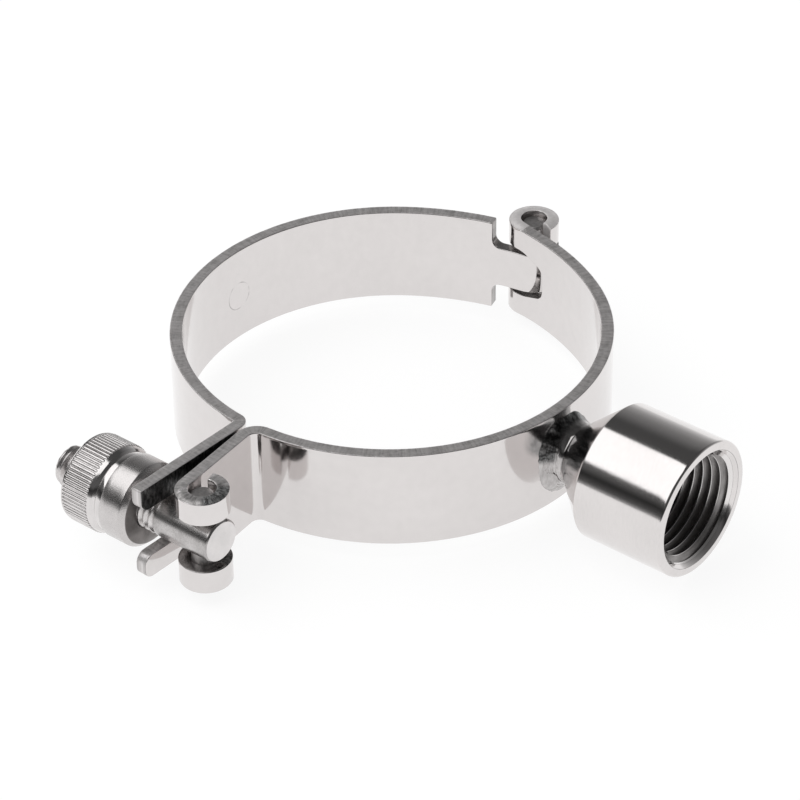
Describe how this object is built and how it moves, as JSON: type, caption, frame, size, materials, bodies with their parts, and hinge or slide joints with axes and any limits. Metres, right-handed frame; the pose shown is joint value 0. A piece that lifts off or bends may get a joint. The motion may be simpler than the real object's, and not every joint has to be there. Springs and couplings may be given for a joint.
{
  "type": "hinged pipe clamp",
  "caption": "Hinged two-part band clamp for a pipe, closed by a swing bolt with a knurled nut, with a welded internally threaded boss on its side.",
  "frame": {"origin": "middle of the pipe bore, on its axis, half way up the band", "axes": "+Z along the pipe; +X out of the mouth of the threaded boss; +Y towards the hinge, so the swing bolt is on the -Y side"},
  "size_m": [0.1093, 0.116, 0.0256],
  "materials": {
    "band": "stainless steel sheet, polished faces and sheared edges",
    "boss": "stainless steel, turned and polished",
    "weld": "stainless steel weld, brushed",
    "bolt": "stainless steel, satin",
    "nut": "stainless steel, turned, straight knurl",
    "pin": "stainless steel, dull"
  },
  "bodies": {
    "boss_half": {"boss_half_band": "band", "threaded_boss": "boss", "boss_weld": "weld", "hinge_pin": "pin", "eye_pin": "pin"},
    "slotted_half": {"slotted_half_band": "band"},
    "bolt": {"swing_bolt": "bolt"},
    "collar": {"collar": "nut"},
    "nut": {"knurled_nut": "nut"}
  },
  "joints": [
    {"name": "band_opening", "type": "hinge", "parent": "boss_half", "child": "slotted_half", "pos_m": [-0.00135, 0.04443, 0], "axis": [0, 0, -1], "range_deg": [0, 220]},
    {"name": "bolt_swing", "type": "hinge", "parent": "boss_half", "child": "bolt", "pos_m": [0.00604, -0.0584, 0], "axis": [0, 0, 1], "range_deg": [0, 205]},
    {"name": "nut_travel", "type": "slide", "parent": "bolt", "child": "collar", "axis": [-1, 0, 0], "range_m": [-0.00235, 0.0046]},
    {"name": "nut_turn", "type": "hinge", "parent": "collar", "child": "nut", "pos_m": [-0.015, -0.0584, 0], "axis": [-1, 0, 0], "range_deg": [-662.4, 1296]}
  ],
  "couplings": [
    {"joint": "nut_travel", "follows": "nut_turn", "m_per_rad": 0.00019894}
  ]
}
